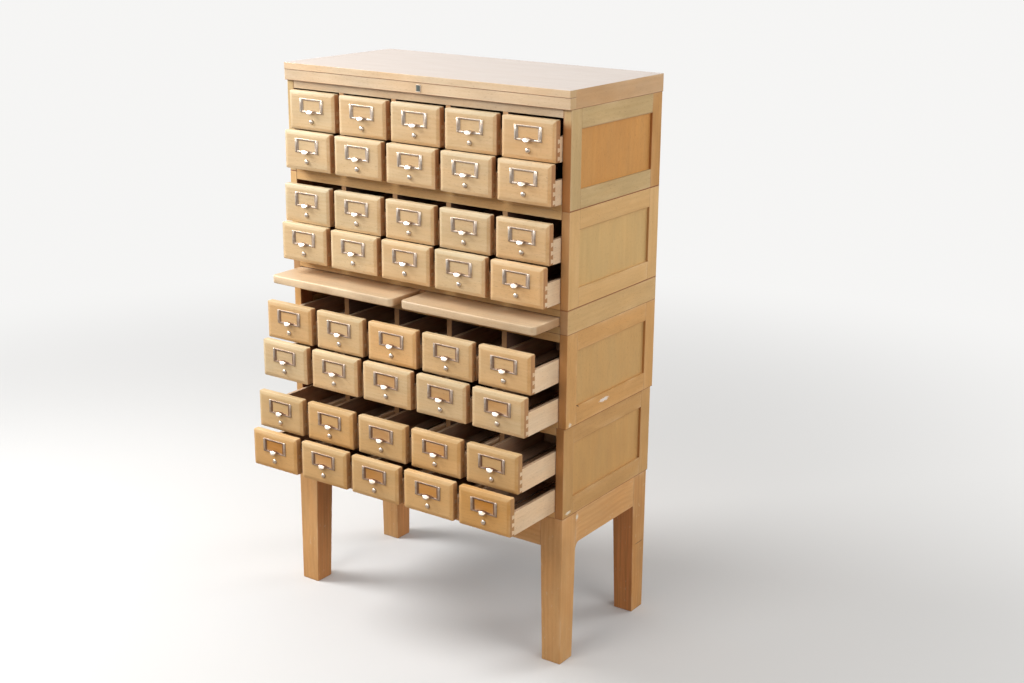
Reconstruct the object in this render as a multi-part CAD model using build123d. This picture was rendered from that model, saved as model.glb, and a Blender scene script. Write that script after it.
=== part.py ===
from build123d import *
import os

# Sectional card catalog cabinet: a cap, four drawer sections of two rows, a section with two
# pull-out reference shelves in the middle, and a leg base. All sizes are in millimetres.
# While the pieces are made, x = 0 is the middle of the case, y = 0 its front face, z = 0 the floor;
# +X is to the right of someone who faces the drawers, and +Y goes to the back.

# Case
case_width = 838.0
case_depth = 400.0
column_count = 5
section_count = 4
end_thickness = 21.0
back_thickness = 6.0
rail_depth = 22.0
top_rail_height = 19.4
bottom_rail_height = 15.5
divider_thickness = 14.3
dust_board_thickness = 6.0

# Frame and panel of each end
stile_width = 44.0
end_rail_height = 46.0
panel_thickness = 8.0
panel_recess = 6.0
groove_depth = 8.0
groove_end_gap = 1.0

# Runners under the drawers and shelves
runner_width = 12.0
runner_height = 10.0
runner_front_gap = 6.0
run_gap = 0.3

# Drawer
front_side_gap = 0.8
front_thickness = 18.0
front_height = 94.6
front_bevel_width = 9.0
front_bevel_depth = 3.0
row_gap = 0.9
front_top_gap = 2.7
drawer_back_gap = 14.0
side_set_in = 0.6
side_thickness = 9.0
side_height = 57.0
tray_back_thickness = 12.0
tray_bottom_thickness = 5.0
tray_bottom_raise = 4.0

# Card rod, its knob, and the follower block that props the cards
rod_radius = 2.5
rod_facets = 8
rod_height = 22.0
knob_radius = 6.3
knob_facets = 16
knob_length = 7.0
follower_side_gap = 4.4
follower_height = 62.0
follower_thickness = 20.0
follower_lean = 8.0
follower_back_space = 45.0
follower_gap = 0.3
saddle_width = 9.0

# Label holder with its finger pull
holder_width = 74.5
holder_height = 35.0
holder_bottom = 43.0
holder_plate = 1.6
holder_window_width = 53.0
holder_window_height = 26.0
holder_channel_width = 8.0
holder_channel_rise = 1.0
pull_width = 20.0
pull_reach = 13.0
pull_thickness = 2.0
pull_drop = 5.0

# How far each row stands open, at its left and right ends
row_open = ((19.5, 28), (40.5, 44.5), (47.5, 49), (62, 70), (125, 116), (146, 140), (162, 155), (188, 185))

# Section with the pull-out shelves
sections_under_shelf = 2
shelf_bottom_rail_height = 19.5
shelf_top_rail_height = 17.0
shelf_divider_thickness = 18.0
shelf_side_gap = 1.5
shelf_thickness = 20.0
shelf_top_gap = 1.2
shelf_back_gap = 29.0
shelf_corner_radius = 13.0
shelf_open = {"left": 107.0, "right": 101.0}

# Cap
cap_height = 43.0
cap_board_thickness = 17.0
cap_front_overhang = 7.0
cap_side_overhang = 2.0
cap_fascia_thickness = 22.0
cap_nosing_proud = 1.0
badge_width = 14.0
badge_height = 18.0
badge_thickness = 1.4
badge_corner = 2.5

# Leg base; it and the lowest section stand a little to the left of the sections above
base_height = 382.0
lower_shift = -5.0
apron_height = 80.0
apron_thickness = 20.0
leg_top_width = 61.0
leg_foot_width = 53.0
apron_corner_radius = 16.0

# Worked out from the sizes above
half_width = case_width / 2
inner_half = half_width - end_thickness
bay_width = (2 * inner_half - (column_count - 1) * divider_thickness) / column_count
column_pitch = bay_width + divider_thickness
front_width = bay_width - 2 * front_side_gap
tray_width = front_width - 2 * side_set_in
tray_inner = tray_width - 2 * side_thickness
follower_width = tray_inner - 2 * follower_side_gap
back_face = case_depth - back_thickness
base_depth = back_face
drawer_length = back_face - drawer_back_gap
row_pitch = front_height + row_gap
divider_height = run_gap + row_pitch + front_height + front_top_gap
section_height = bottom_rail_height + divider_height + top_rail_height
runner_setback = front_thickness + runner_front_gap
shelf_slot = run_gap + shelf_thickness + shelf_top_gap
shelf_section_height = shelf_bottom_rail_height + shelf_slot + shelf_top_rail_height
shelf_length = back_face - shelf_back_gap
shelf_bay = inner_half - shelf_divider_thickness / 2
shelf_width = shelf_bay - 2 * shelf_side_gap
case_top = base_height + section_count * section_height + shelf_section_height


def block(x, y, z):
    """A board between two values on each axis."""
    corner = Pos(x[0], y[0], z[0])
    return corner * Box(x[1] - x[0], y[1] - y[0], z[1] - z[0], align=(Align.MIN, Align.MIN, Align.MIN))


def mirrored(solids):
    """The solids and their twins on the other side of the middle plane."""
    return solids + [mirror(solid, Plane.YZ) for solid in solids]


def grouped(solids, x=0.0, y=0.0, z=0.0):
    """Separate solids as one group, moved to its place."""
    return Pos(x, y, z) * Compound(solids)


def section_floor(section):
    """Height of the underside of a drawer section, counted from the top one as 1."""
    below = section_count - section
    shelf = shelf_section_height if below >= sections_under_shelf else 0.0
    return base_height + below * section_height + shelf


def section_shift(section):
    """Sideways place of a drawer section."""
    return lower_shift if section == section_count else 0.0


def column_middle(column):
    """Middle of a column of drawers, counted from the left one as 1."""
    return (column - (column_count + 1) / 2) * column_pitch


# Drawer: x = 0 in its middle, y = 0 on the face of its front, z = 0 on its underside
def drawer_front():
    """Thick board with a wide, shallow bevel along all four edges of its face."""
    board = block((-front_width / 2, front_width / 2), (0, front_thickness), (0, front_height))
    face = board.faces().sort_by(Axis.Y)[0]
    return chamfer(face.edges(), front_bevel_width, front_bevel_depth, reference=face)


def drawer_box():
    """Two low sides, the back between them and the bottom let in above their lower edges."""
    outer = tray_width / 2
    inner = tray_inner / 2
    along = (front_thickness, drawer_length)
    sides = mirrored([block((inner, outer), along, (0, side_height))])
    back_front = drawer_length - tray_back_thickness
    back = block((-inner, inner), (back_front, drawer_length), (0, side_height))
    bottom_top = tray_bottom_raise + tray_bottom_thickness
    bottom = block((-inner, inner), (front_thickness, back_front), (tray_bottom_raise, bottom_top))
    return sides + [back, bottom]


def card_rod():
    """The rod under the cards, between the front and the back, and its knob on the face."""
    back_front = drawer_length - tray_back_thickness
    rod = turned(rod_radius, rod_facets, front_thickness, back_front)
    knob = turned(knob_radius, knob_facets, -knob_length, 0)
    return [rod, knob]


def turned(radius, facets, front, back):
    """Round bar along Y at the height of the rod, with flat facets in place of its round face."""
    ring = Plane(origin=(0, front, rod_height), x_dir=(1, 0, 0), z_dir=(0, 1, 0))
    return extrude(ring * RegularPolygon(radius, facets), back - front)


def follower():
    """Leaning block that sits on the tray bottom and straddles the rod with a saddle."""
    foot = tray_bottom_raise + tray_bottom_thickness + follower_gap
    rear = drawer_length - tray_back_thickness - follower_back_space
    front = rear - follower_thickness
    outline = Polyline((front, foot), (rear, foot), (rear, foot + follower_height),
                       (front + follower_lean, foot + follower_height), close=True)
    body = extrude(Plane.YZ * make_face(outline), follower_width / 2, both=True)
    saddle_top = rod_height + rod_radius + follower_gap
    saddle = block((-saddle_width / 2, saddle_width / 2), (front - 1, rear + 1), (0, saddle_top))
    return body - saddle


def label_holder():
    """Plate with a window and raised side channels, and the curled finger pull under the window."""
    half = holder_width / 2
    top = holder_bottom + holder_height
    plate = block((-half, half), (-holder_plate, 0), (holder_bottom, top))
    rise = holder_plate + holder_channel_rise
    channels = mirrored([block((half - holder_channel_width, half), (-rise, 0), (holder_bottom, top))])
    window_half = holder_window_width / 2
    margin = (holder_height - holder_window_height) / 2
    window = block((-window_half, window_half), (-rise - 1, 1), (holder_bottom + margin, top - margin))
    return plate + channels[0] + channels[1] - window + finger_pull()


def finger_pull():
    """Lip that leaves the lower bar of the holder, reaches outwards and curls down to its tip."""
    root = holder_bottom + (holder_height - holder_window_height) / 2
    crown = TangentArc((0, root), (-pull_reach, root - pull_drop), tangent=(-1, 0))
    tip = crown @ 1
    underside = Polyline(tip, tip - Vector(0, pull_thickness), (0, root - pull_thickness), (0, root))
    profile = make_face([crown, *underside.edges()])
    return extrude(Plane.YZ * profile, pull_width / 2, both=True)


def drawer_solids():
    return [drawer_front()] + drawer_box() + card_rod() + [follower(), label_holder()]


def drawer_open(row, column):
    """How far one drawer stands open: its row's ends, and evenly between them."""
    left, right = row_open[row - 1]
    return left + (right - left) * (column - 1) / (column_count - 1)


def drawer_parts():
    solids = drawer_solids()
    made = {}
    for row in range(1, 2 * section_count + 1):
        section = (row + 1) // 2
        lift = row_pitch if row % 2 else 0.0
        height = section_floor(section) + bottom_rail_height + run_gap + lift
        for column in range(1, column_count + 1):
            across = column_middle(column) + section_shift(section)
            name = f"drawer_row{row}_col{column}"
            made[name] = grouped(solids, across, -drawer_open(row, column), height)
    return made


# Drawer section: z = 0 on its underside
def panel_block(reach):
    """The right end's panel, reaching into the frame around it on all four sides."""
    face = half_width - panel_recess
    along = (stile_width - reach, case_depth - stile_width + reach)
    upright = (end_rail_height - reach, section_height - end_rail_height + reach)
    return block((face - panel_thickness, face), along, upright)


def end_frames():
    """Stiles at full height with the rails between them, grooved for the panel, on both ends."""
    groove = panel_block(groove_depth)
    thick = (inner_half, half_width)
    upright = (0, section_height)
    between = (stile_width, case_depth - stile_width)
    front_stile = block(thick, (0, stile_width), upright)
    back_stile = block(thick, (case_depth - stile_width, case_depth), upright)
    low_rail = block(thick, between, (0, end_rail_height))
    high_rail = block(thick, between, (section_height - end_rail_height, section_height))
    return mirrored([board - groove for board in (front_stile, back_stile, low_rail, high_rail)])


def end_panels():
    """Thin panels whose edges sit in the grooves of the end frames."""
    return mirrored([panel_block(groove_depth - groove_end_gap)])


def section_rails():
    """Rails over and under the drawers, at the front and at the back."""
    across = (-inner_half, inner_half)
    front = (0, rail_depth)
    back = (back_face - rail_depth, back_face)
    low = (0, bottom_rail_height)
    high = (section_height - top_rail_height, section_height)
    return [block(across, place, level) for place in (front, back) for level in (low, high)]


def partitions():
    """Upright partitions between the columns, and the dust board under the lower row."""
    low = bottom_rail_height
    along = (0, back_face)
    boards = []
    for column in range(1, column_count):
        middle = column_middle(column) + column_pitch / 2
        across = (middle - divider_thickness / 2, middle + divider_thickness / 2)
        boards.append(block(across, along, (low, low + divider_height)))
    dust_board = block((-inner_half, inner_half), (rail_depth, back_face - rail_depth),
                       (low - dust_board_thickness, low))
    return boards + [dust_board]


def runners():
    """Strips that carry the sides of the upper drawers, on both walls of each bay."""
    top = bottom_rail_height + row_pitch
    strips = []
    for column in range(1, column_count + 1):
        for side in (-1, 1):
            wall = column_middle(column) + side * bay_width / 2
            across = sorted((wall, wall - side * runner_width))
            strips.append(block(across, (runner_setback, back_face), (top - runner_height, top)))
    return strips


def section_back():
    return [block((-inner_half, inner_half), (back_face, case_depth), (0, section_height))]


def all_sections(make):
    """What make gives for one section, for every section, at its place."""
    return [Pos(section_shift(section), 0, section_floor(section)) * solid
            for section in range(1, section_count + 1) for solid in make()]


def section_parts():
    made = {}
    for section in range(1, section_count + 1):
        place = (section_shift(section), 0, section_floor(section))
        made[f"section{section}_end_frames"] = grouped(end_frames(), *place)
        made[f"section{section}_partitions"] = grouped(partitions(), *place)
    made["section_rails"] = Compound(all_sections(section_rails))
    made["end_panels"] = Compound(all_sections(end_panels))
    made["drawer_runners"] = Compound(all_sections(runners))
    return made


# Section with the pull-out shelves
def shelf_housing():
    """Ends, rails and middle divider of the shelf section, with a cleat on each wall of its bays."""
    floor = section_floor(sections_under_shelf) - shelf_section_height
    slot_low = shelf_bottom_rail_height
    slot_high = shelf_section_height - shelf_top_rail_height
    ends = mirrored([block((inner_half, half_width), (0, case_depth), (0, shelf_section_height))])
    across = (-inner_half, inner_half)
    rails = []
    for place in ((0, rail_depth), (back_face - rail_depth, back_face)):
        rails.append(block(across, place, (0, slot_low)))
        rails.append(block(across, place, (slot_high, shelf_section_height)))
    half = shelf_divider_thickness / 2
    divider = block((-half, half), (0, back_face), (slot_low, slot_high))
    along = (rail_depth, back_face - rail_depth)
    level = (slot_low - runner_height, slot_low)
    cleats = mirrored([block((inner_half - runner_width, inner_half), along, level),
                       block((half - runner_width / 2, half + runner_width / 2), along, level)])
    return grouped(ends + rails + [divider] + cleats, z=floor)


def pull_shelf():
    """A board with rounded front corners."""
    board = block((-shelf_width / 2, shelf_width / 2), (0, shelf_length), (0, shelf_thickness))
    corners = board.edges().filter_by(Axis.Z).group_by(Axis.Y)[0]
    return fillet(corners, shelf_corner_radius)


def shelf_parts():
    floor = section_floor(sections_under_shelf) - shelf_section_height
    height = floor + shelf_bottom_rail_height + run_gap
    across = (shelf_divider_thickness + shelf_bay) / 2
    board = pull_shelf()
    left = Pos(-across, -shelf_open["left"], height) * board
    right = Pos(across, -shelf_open["right"], height) * board
    return {"pull_shelf_left": left, "pull_shelf_right": right}


# Cap
def cap_parts():
    outer = half_width + cap_side_overhang
    face = -cap_front_overhang
    inside = face + cap_fascia_thickness
    top = case_top + cap_height
    board_low = top - cap_board_thickness
    band = outer - cap_fascia_thickness
    nosing = block((-outer, outer), (face - cap_nosing_proud, inside), (board_low, top))
    rear = case_depth - cap_fascia_thickness
    panel = block((-band, band), (inside, rear), (board_low, top))
    fascia = block((-outer, outer), (face, inside), (case_top, board_low))
    sides = mirrored([block((band, outer), (inside, case_depth), (case_top, top))])
    back = block((-band, band), (rear, case_depth), (case_top, top))
    outline = Rectangle(badge_width, badge_height)
    outline = chamfer(outline.vertices(), badge_corner)
    middle = Plane(origin=(0, face, (case_top + board_low) / 2), x_dir=(1, 0, 0), z_dir=(0, -1, 0))
    return {"cap_board": Compound([nosing, panel]),
            "cap_band": Compound([fascia, *sides, back]),
            "cap_badge": extrude(middle * outline, badge_thickness)}


# Leg base
def leg(side, along, inward):
    """Leg with straight outer faces, whose two inner faces taper below the aprons."""
    def square(width, height):
        corner = Pos(side * (half_width - width / 2), along + inward * width / 2, height)
        return corner * Rectangle(width, width)

    taper_top = base_height - apron_height
    taper = loft([square(leg_foot_width, 0), square(leg_top_width, taper_top)], ruled=True)
    head = extrude(square(leg_top_width, taper_top), apron_height)
    return taper + head


def side_apron(side):
    """Board flush with the legs, whose lower edge sweeps down in an arc beside the front leg."""
    start = leg_top_width
    end = base_depth - leg_top_width
    low = base_height - apron_height
    outer = side * half_width
    inner = outer - side * apron_thickness
    board = block(sorted((outer, inner)), (start, end), (low, base_height))
    drop = low - apron_corner_radius
    leg_edge = leg_foot_width + (leg_top_width - leg_foot_width) * drop / low
    sweep = TangentArc((leg_edge, drop), (start + apron_corner_radius, low), tangent=(0, 1))
    corner = Polyline((start + apron_corner_radius, low), (start, low), (leg_edge, drop))
    ear = make_face([sweep, *corner.edges()])
    return board + extrude(Plane.YZ.offset(min(outer, inner)) * ear, apron_thickness)


def base_parts():
    legs = [leg(side, along, inward)
            for side in (-1, 1) for along, inward in ((0, 1), (base_depth, -1))]
    across = (-half_width + leg_top_width, half_width - leg_top_width)
    level = (base_height - apron_height, base_height)
    front = block(across, (0, apron_thickness), level)
    back = block(across, (base_depth - apron_thickness, base_depth), level)
    aprons = [front, back, side_apron(-1), side_apron(1)]
    return {"base_legs": grouped(legs, x=lower_shift), "base_aprons": grouped(aprons, x=lower_shift)}


def back_boards():
    floor = section_floor(sections_under_shelf) - shelf_section_height
    behind_shelves = block((-inner_half, inner_half), (back_face, case_depth),
                           (floor, floor + shelf_section_height))
    return Compound(all_sections(section_back) + [behind_shelves])


parts = {**cap_parts(), **section_parts(), "back_boards": back_boards(),
         "shelf_housing": shelf_housing(), **base_parts(), **shelf_parts(), **drawer_parts()}

# The origin goes to the middle of the floor under the whole cabinet, as its drawers stand open
boxes = [shape.bounding_box() for shape in parts.values()]
middle_x = (min(box.min.X for box in boxes) + max(box.max.X for box in boxes)) / 2
middle_y = (min(box.min.Y for box in boxes) + max(box.max.Y for box in boxes)) / 2
print("case middle and front are at", round(-middle_x, 3), round(-middle_y, 3))

os.makedirs("parts", exist_ok=True)
for name, shape in parts.items():
    export_step(Pos(-middle_x, -middle_y, 0) * shape, f"parts/{name}.step")
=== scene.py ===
from math import cos, pi, sin
import bpy
import numpy as np
from mathutils import Matrix, Vector


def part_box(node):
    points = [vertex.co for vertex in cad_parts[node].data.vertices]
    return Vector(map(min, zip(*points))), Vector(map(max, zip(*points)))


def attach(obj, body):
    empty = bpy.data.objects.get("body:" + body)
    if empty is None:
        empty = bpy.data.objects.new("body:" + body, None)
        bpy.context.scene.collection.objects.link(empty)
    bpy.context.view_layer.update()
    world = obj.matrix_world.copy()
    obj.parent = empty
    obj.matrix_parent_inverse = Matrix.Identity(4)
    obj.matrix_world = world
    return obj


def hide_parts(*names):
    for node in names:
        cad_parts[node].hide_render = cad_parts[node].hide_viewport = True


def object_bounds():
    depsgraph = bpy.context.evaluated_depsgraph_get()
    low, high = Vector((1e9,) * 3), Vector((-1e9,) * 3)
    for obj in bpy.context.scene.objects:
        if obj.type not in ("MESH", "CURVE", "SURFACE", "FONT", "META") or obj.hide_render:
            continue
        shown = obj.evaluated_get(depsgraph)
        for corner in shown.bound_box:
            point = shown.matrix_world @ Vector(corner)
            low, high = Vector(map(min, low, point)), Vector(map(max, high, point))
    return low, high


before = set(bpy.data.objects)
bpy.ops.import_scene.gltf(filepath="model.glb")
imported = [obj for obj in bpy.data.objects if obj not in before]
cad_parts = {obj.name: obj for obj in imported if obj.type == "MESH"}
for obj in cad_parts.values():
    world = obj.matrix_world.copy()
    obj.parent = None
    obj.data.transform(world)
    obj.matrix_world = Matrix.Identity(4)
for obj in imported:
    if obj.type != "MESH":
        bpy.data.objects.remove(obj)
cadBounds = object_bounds()


# The same draws for a name, whatever is made before it
def diceFor(name):
    return np.random.default_rng(list(name.encode()))


def linked(name, data):
    made = bpy.data.objects.new(name, data)
    bpy.context.scene.collection.objects.link(made)
    return made


# The solids of a node, as boxes. Its triangles come solid by solid, and a solid is whole when each
# directed edge has met its reverse.
def solidBoxes(node):
    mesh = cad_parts[node].data
    points = np.zeros(len(mesh.vertices) * 3, np.float32)
    mesh.vertices.foreach_get("co", points)
    points = points.reshape(-1, 3)
    known = {}
    same = [known.setdefault(tuple(p), len(known)) for p in np.round(points, 6).tolist()]
    waiting, members, boxes = set(), [], []
    for polygon in mesh.polygons:
        corners = list(polygon.vertices)
        members += corners
        for first, second in zip(corners, corners[1:] + corners[:1]):
            edge = (same[first], same[second])
            if edge[::-1] in waiting:
                waiting.discard(edge[::-1])
            else:
                waiting.add(edge)
        if not waiting:
            boxes.append((points[members].min(0).astype(float), points[members].max(0).astype(float)))
            members = []
    return boxes


# Stock: the surfaces of one piece before they become a mesh
def newStock():
    return {"points": [], "faces": [], "finish": [], "place": [], "tone": [], "edge": [], "count": 0}


def started(name):
    return newStock(), diceFor(name)


def addSurface(stock, points, faces, place, tone, edge, finish=0):
    base = stock["count"]
    stock["points"].append(points)
    stock["place"].append(place)
    stock["tone"].append(tone)
    stock["edge"].append(edge)
    for group in faces:
        listed = (np.asarray(group) + base).tolist()
        stock["faces"] += listed
        stock["finish"] += [finish] * len(listed)
    stock["count"] += len(points)


# Quads of a grid of rows by columns; wrap joins the last column to the first
def gridQuads(rows, columns, wrap=False):
    ids = np.arange(rows * columns).reshape(rows, columns)
    if wrap:
        ids = np.hstack([ids, ids[:, :1]])
    corners = (ids[:-1, :-1], ids[:-1, 1:], ids[1:, 1:], ids[1:, :-1])
    return np.stack([c.ravel() for c in corners], axis=1)


# Faces of a tube of rings, with a flat cap on both ends
def tubeFaces(rings, columns, flipped=False):
    quads = gridQuads(rings, columns, wrap=True)
    first = np.arange(columns)[None, :]
    last = first + (rings - 1) * columns
    if flipped:
        return [quads[:, ::-1], first, last[:, ::-1]]
    return [quads, first[:, ::-1], last]


# Ring round a rectangle with rounded corners: each corner is a quarter circle about its centre
def roundedRing(half, radius, steps=4):
    angles = (np.arange(4)[:, None] + np.linspace(0, 1, steps)[None, :]) * pi / 2
    signs = np.array([(1, 1), (-1, 1), (-1, -1), (1, -1)])[:, None, :]
    turn = np.stack([np.cos(angles), np.sin(angles)], axis=2)
    return (signs * (half - radius) + radius * turn).reshape(-1, 2)


def makePiece(stock, name, body, materials, replaced=()):
    mesh = bpy.data.meshes.new(name)
    mesh.from_pydata(np.vstack(stock["points"]).tolist(), [], stock["faces"])
    for key, values in (("partPlace", "place"), ("partTone", "tone"), ("partEdge", "edge")):
        layer = mesh.attributes.new(key, "FLOAT_VECTOR", "POINT")
        layer.data.foreach_set("vector", np.vstack(stock[values]).astype(np.float32).ravel())
    for material in materials:
        mesh.materials.append(material)
    mesh.polygons.foreach_set("material_index", stock["finish"])
    mesh.polygons.foreach_set("use_smooth", [True] * len(mesh.polygons))
    mesh.set_sharp_from_angle(angle=0.9)
    mesh.update()
    piece = linked(name, mesh)
    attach(piece, body)
    if replaced:
        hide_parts(*replaced)


# Wood carries three vectors: place is the point along and across its board, tone is (light, warm, old varnish
# stain and painted shade) and edge is (wear, end grain, one face in a colour of its own, which on the right
# stiles is a painted shadow and on the cap's top a painted sheen)
boardGrid = {"wearReach": 0.004, "bands": (0.006, 0.02), "bandRun": 4, "heartNear": 0.03, "heartFar": 0.16,
             "along": 4, "toneSpread": 0.25, "edge": 0.0007}


# Grid lines across one side of a board: at the start, middle and end of its rounded edge, then further in
def sideLines(length, rounding, extra=()):
    near = [0.0, 0.586 * rounding, rounding, boardGrid["bandRun"] * rounding, *boardGrid["bands"]]
    near = np.array(sorted(v for v in near if v < 0.48 * length))
    lines = np.concatenate([near, length - near, [v for v in extra if 0 < v < length]])
    return np.unique(np.round(lines, 7))


# Place, tone and wear of a board's points. Distances to the six faces give the wear along its edges, the
# end grain at both ends of its grain, the old varnish stain and painted shade on the faces named in its
# stains, and one face in a colour of its own, which on the right stiles is a painted shadow and on the cap's
# top a painted sheen.
def woodOf(points, low, high, dice, look, grain, rounding, stainsAndShade):
    size = high - low
    grain = int(np.argmax(size)) if grain is None else grain
    across = [axis for axis in range(3) if axis != grain]
    local = points - (low + high) / 2
    turn = dice.uniform(0, 2 * pi)
    away = dice.uniform(boardGrid["heartNear"], boardGrid["heartFar"])
    place = np.stack([local[:, grain] + dice.uniform(-boardGrid["along"], boardGrid["along"]),
                      local[:, across[0]] + away * cos(turn),
                      local[:, across[1]] + away * sin(turn)], axis=1)
    toLow, toHigh = points - low, high - points

    def depth(face):
        return (toLow if face[0] == "-" else toHigh)[:, "xyz".index(face[1])]

    def near(face, reach):
        return np.clip(1 - depth(face) / reach, 0, 1)

    nearest = np.minimum(toLow, toHigh)
    wear = np.exp(-np.maximum(np.sort(nearest, axis=1)[:, 1], 0) / boardGrid["wearReach"])
    end = np.clip(1.2 - nearest[:, grain] / rounding, 0, 1)
    stainAndShade = np.full(len(points), stainsAndShade.get("all", 0.0))
    for face, amount in stainsAndShade.items():
        if face != "all":
            stainAndShade = np.maximum(stainAndShade, amount * near(face, look.get("stainAndShadeReach", 0.25 * rounding)))
    spread = look.get("spread", 1.0) * boardGrid["toneSpread"]
    light = look.get("light", 0.0) + spread * dice.uniform(-1, 1)
    warm = look.get("warm", 0.0) + spread * dice.uniform(-1, 1)
    tone = np.stack([np.full(len(points), light), np.full(len(points), warm), stainAndShade], axis=1)
    for face, shift in look.get("faces", {}).items():
        tone[:, :2] += near(face, 0.5 * rounding)[:, None] * shift
    faceColourAndLight = np.zeros(len(points))
    if "faceColourAndLight" in look:
        faceColourAndLight = look.get("faceShare", 1.0) * near(look["faceColourAndLight"], look.get("faceReach", 0.5 * rounding))
    if "shadowFadeTop" in look:
        faceColourAndLight = faceColourAndLight * np.clip(toHigh[:, 2] / look["shadowFadeTop"] - 1, 0.1, 1)
    return place, tone, np.stack([wear, end, faceColourAndLight], axis=1)


# Rounded board: each of its six sides is a grid of two parameters on the outer box; a point is pulled in
# to the box shrunk by the rounding and pushed out again by the rounding, straight away from that box. warp
# moves the finished points.
def addBoard(stock, low, high, dice, look, grain=None, rounding=boardGrid["edge"], stainsAndShade={}, extra={},
             warp=None, finish=0):
    low, high = np.array(low, float), np.array(high, float)
    size = high - low
    rounding = min(rounding, 0.45 * size.min())
    sheets, faces, count = [], [], 0
    for axis in range(3):
        a, b = (axis + 1) % 3, (axis + 2) % 3
        u = sideLines(size[a], rounding, extra.get(a, ()))
        v = sideLines(size[b], rounding, extra.get(b, ()))
        for side in (0, 1):
            outer = np.empty((len(u), len(v), 3))
            outer[..., axis] = side * size[axis]
            outer[..., a] = u[:, None]
            outer[..., b] = v[None, :]
            quads = gridQuads(len(u), len(v)) + count
            faces.append(quads[:, ::-1] if side else quads)
            sheets.append(outer.reshape(-1, 3))
            count += len(u) * len(v)
    outer = np.vstack(sheets)
    inner = np.clip(outer, rounding, size - rounding)
    away = outer - inner
    away /= np.linalg.norm(away, axis=1, keepdims=True)
    points = inner + rounding * away
    points, same = np.unique(np.round(points, 7), axis=0, return_inverse=True)
    quads = same.ravel()[np.vstack(faces)[:, ::-1]]
    points = points + low
    wood = woodOf(points, low, high, dice, look, grain, rounding, stainsAndShade)
    if warp:
        warp(points)
    addSurface(stock, points, [quads], *wood, finish)


# Slab: a profile of (inset, depth) pairs carried round a rectangle with rounded corners, closed by a flat
# cap at each end. axes gives which way its width, height and depth run.
def addSlab(stock, low, high, profile, corners, axes, dice, look, grain=None, stainsAndShade={}, finish=0):
    low, high = np.array(low, float), np.array(high, float)
    across, up, deep = axes
    half = (high - low)[[across, up]] / 2
    middle = ((low + high) / 2)[[across, up]]
    rings = []
    for inset, depth in profile:
        radius = np.maximum(np.array(corners) - inset, 0.0002)[:, None, None]
        flat = roundedRing(half - inset, radius) + middle
        ring = np.empty((len(flat), 3))
        ring[:, across], ring[:, up], ring[:, deep] = flat[:, 0], flat[:, 1], low[deep] + depth
        rings.append(ring)
    points = np.vstack(rings)
    flipped = np.linalg.det(np.eye(3)[[across, up, deep]]) < 0
    wood = woodOf(points, low, high, dice, look, grain, 0.001, stainsAndShade)
    addSurface(stock, points, tubeFaces(len(rings), len(rings[0]), flipped), *wood, finish)


# Metal carries its grime and painted shade as the first number of its tone
def addMetal(stock, points, faces, grimeAndShade=0.0):
    tone = np.zeros_like(points)
    tone[:, 0] = grimeAndShade
    addSurface(stock, points, faces, points.copy(), tone, np.zeros_like(points))


# Turned piece: a profile of (radius, place along Y) pairs carried round an axis along Y
def addTurned(stock, centre, profile, steps, grimeAndShade=0.0):
    profile = np.array(profile, float)
    angles = np.linspace(0, 2 * pi, steps, endpoint=False)
    radius = np.maximum(profile[:, :1], 1e-5)
    along = np.broadcast_to(profile[:, 1:], (len(profile), steps))
    turned = [centre[0] + radius * np.cos(angles), along, centre[1] + radius * np.sin(angles)]
    grimeAndShade = np.repeat(np.broadcast_to(grimeAndShade, len(profile)), steps)
    addMetal(stock, np.stack(turned, axis=2).reshape(-1, 3), tubeFaces(len(profile), steps), grimeAndShade)


def newMaterial(name):
    material = bpy.data.materials.new(name)
    material.use_nodes = True
    tree = material.node_tree
    return material, tree, tree.nodes["Principled BSDF"]


# Links or sets the inputs of a node
def feed(tree, node, values):
    for key, value in values.items():
        if isinstance(value, bpy.types.NodeSocket):
            tree.links.new(value, node.inputs[key])
        else:
            node.inputs[key].default_value = value


def put(tree, kind, values={}, **settings):
    node = tree.nodes.new("ShaderNode" + kind)
    for key, value in settings.items():
        setattr(node, key, value)
    feed(tree, node, values)
    return node


def sums(tree, operation, *values, clamp=False):
    node = put(tree, "Math", dict(enumerate(values)), operation=operation, use_clamp=clamp)
    return node.outputs[0]


def times(tree, first, second, added=0.0):
    return sums(tree, "MULTIPLY_ADD", first, second, added)


def vectors(tree, operation, *values):
    node = put(tree, "VectorMath", dict(enumerate(values)), operation=operation)
    return node.outputs["Value" if operation in ("LENGTH", "DOT_PRODUCT") else "Vector"]


def mixed(tree, factor, first, second, blend="MIX"):
    node = put(tree, "Mix", {0: factor, 6: first, 7: second}, data_type="RGBA", blend_type=blend)
    return node.outputs[2]


def spanned(tree, value, low, high, toLow=0.0, toHigh=1.0, kind="LINEAR"):
    values = {"Value": value, "From Min": low, "From Max": high, "To Min": toLow, "To Max": toHigh}
    return put(tree, "MapRange", values, interpolation_type=kind).outputs[0]


def grained(tree, vector, scale, detail=3.0, roughness=0.55, distortion=0.0):
    values = {"Vector": vectors(tree, "MULTIPLY", vector, scale), "Scale": 1.0, "Detail": detail,
              "Roughness": roughness, "Distortion": distortion}
    return put(tree, "TexNoise", values).outputs["Fac"]


def colour(channels):
    return (*channels, 1.0)


def dyed(tree, base, red, green, blue):
    dye = put(tree, "CombineColor", {0: red, 1: green, 2: blue}).outputs[0]
    return mixed(tree, 1.0, base, dye, "MULTIPLY")


# The three numbers of a vector that a piece carries
def carried(tree, name):
    vector = put(tree, "Attribute", attribute_name=name).outputs["Vector"]
    return put(tree, "SeparateXYZ", {0: vector}).outputs


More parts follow.
